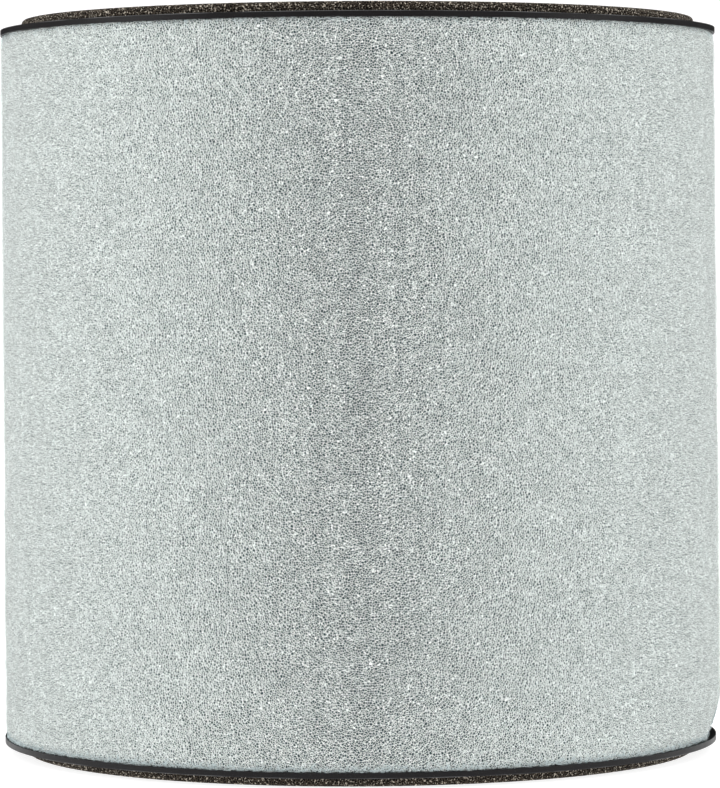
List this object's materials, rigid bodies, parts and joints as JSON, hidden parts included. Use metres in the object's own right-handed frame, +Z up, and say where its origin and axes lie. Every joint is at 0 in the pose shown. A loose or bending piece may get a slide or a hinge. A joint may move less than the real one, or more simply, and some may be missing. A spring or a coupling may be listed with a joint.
{
  "type": "air purifier filter",
  "caption": "Drum-shaped filter for an air purifier: pleated paper and carbon layers round an open bore, in a fibrous wrap between black steel end caps with foam gaskets.",
  "frame": {"origin": "centre of the lower gasket's underside, which the drum stands on", "axes": "+Z up the drum's axis, +X through the lap of the wrap, -Y towards the pictured side"},
  "size_m": [0.3586, 0.356, 0.364],
  "materials": {
    "coated_steel": "semi-gloss black coating",
    "gasket_foam": "open-cell foam",
    "wrap_fibre": "lofty non-woven",
    "hook_tape": "woven hook tape",
    "screen_steel": "zinc-coated",
    "carbon_granules": "granular",
    "pleat_paper": "fibre paper",
    "core_plastic": "moulded, satin"
  },
  "bodies": {
    "root": {"lower_end_cap": "coated_steel", "upper_end_cap": "coated_steel", "lower_gasket": "gasket_foam", "upper_gasket": "gasket_foam", "prefilter_wrap": "wrap_fibre", "wrap_hook_strip": "hook_tape", "drum_screen": "screen_steel", "carbon_bed": "carbon_granules", "bed_screen": "screen_steel", "pleat_pack": "pleat_paper", "core_cage": "core_plastic"}
  },
  "joints": []
}
